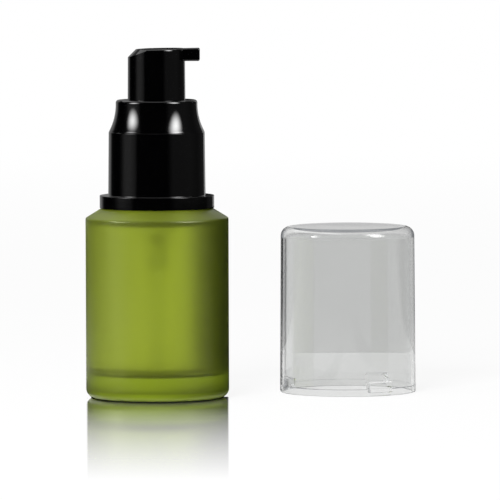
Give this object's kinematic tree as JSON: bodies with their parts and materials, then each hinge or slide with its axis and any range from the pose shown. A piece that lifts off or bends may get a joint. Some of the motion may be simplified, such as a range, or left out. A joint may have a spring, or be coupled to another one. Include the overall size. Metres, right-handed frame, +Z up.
{
  "type": "lotion pump bottle",
  "caption": "Small round bottle with a conical shoulder, a finger pump with a short side nozzle on a flanged collar, and a clear overcap standing beside it.",
  "frame": {"origin": "middle of the bottle's flat base, on its axis", "axes": "+Z up the bottle's axis, +X the way the nozzle points, the overcap stands at +X"},
  "size_m": [0.0811, 0.0493, 0.0855],
  "materials": {
    "frosted_glass": "frosted, olive green",
    "clear_plastic": "clear, polished",
    "black_plastic": "high gloss",
    "white_plastic": "satin",
    "natural_plastic": "translucent, natural",
    "tube_plastic": "translucent, natural",
    "soft_plastic": "waxy",
    "foam": "closed-cell foam",
    "steel": "bright drawn"
  },
  "bodies": {
    "bottle": {"bottle": "frosted_glass"},
    "pump": {"pump_housing": "natural_plastic", "lock_ring": "natural_plastic", "neck_gasket": "foam", "dip_tube": "tube_plastic", "return_spring": "steel"},
    "closure": {"screw_closure": "white_plastic", "outer_collar": "black_plastic"},
    "stem": {"stem": "natural_plastic", "stem_plug": "white_plastic"},
    "actuator": {"actuator": "black_plastic"},
    "piston": {"piston": "soft_plastic"},
    "inlet_ball": {"inlet_ball": "steel"},
    "overcap": {"overcap": "clear_plastic"}
  },
  "joints": [
    {"name": "pump_lift", "type": "slide", "parent": "bottle", "child": "pump", "axis": [0, 0, 1], "range_m": [0, 0.00317]},
    {"name": "closure_turn", "type": "hinge", "parent": "pump", "child": "closure", "pos_m": [0, 0, 0.06], "axis": [0, 0, 1], "range_deg": [0, 360]},
    {"name": "pump_stroke", "type": "slide", "parent": "pump", "child": "stem", "axis": [0, 0, -1], "range_m": [0, 0.0045], "stiffness_N_per_m": 1000, "springref_m": -0.004, "deforming": ["return_spring"]},
    {"name": "nozzle_swivel", "type": "hinge", "parent": "stem", "child": "actuator", "pos_m": [0, 0, 0.0757], "axis": [0, 0, 1], "continuous": true},
    {"name": "piston_follow", "type": "slide", "parent": "pump", "child": "piston", "axis": [0, 0, -1], "range_m": [0, 0.004]},
    {"name": "ball_lift", "type": "slide", "parent": "pump", "child": "inlet_ball", "axis": [0, 0, 1], "range_m": [0, 0.0009]},
    {"name": "overcap_lift", "type": "slide", "parent": "bottle", "child": "overcap", "axis": [0, 0, 1], "range_m": [0, 0.09]}
  ],
  "couplings": [
    {"joint": "pump_lift", "follows": "closure_turn", "m_per_rad": 0.00050532},
    {"joint": "piston_follow", "follows": "pump_stroke", "ratio": 0.88888}
  ]
}
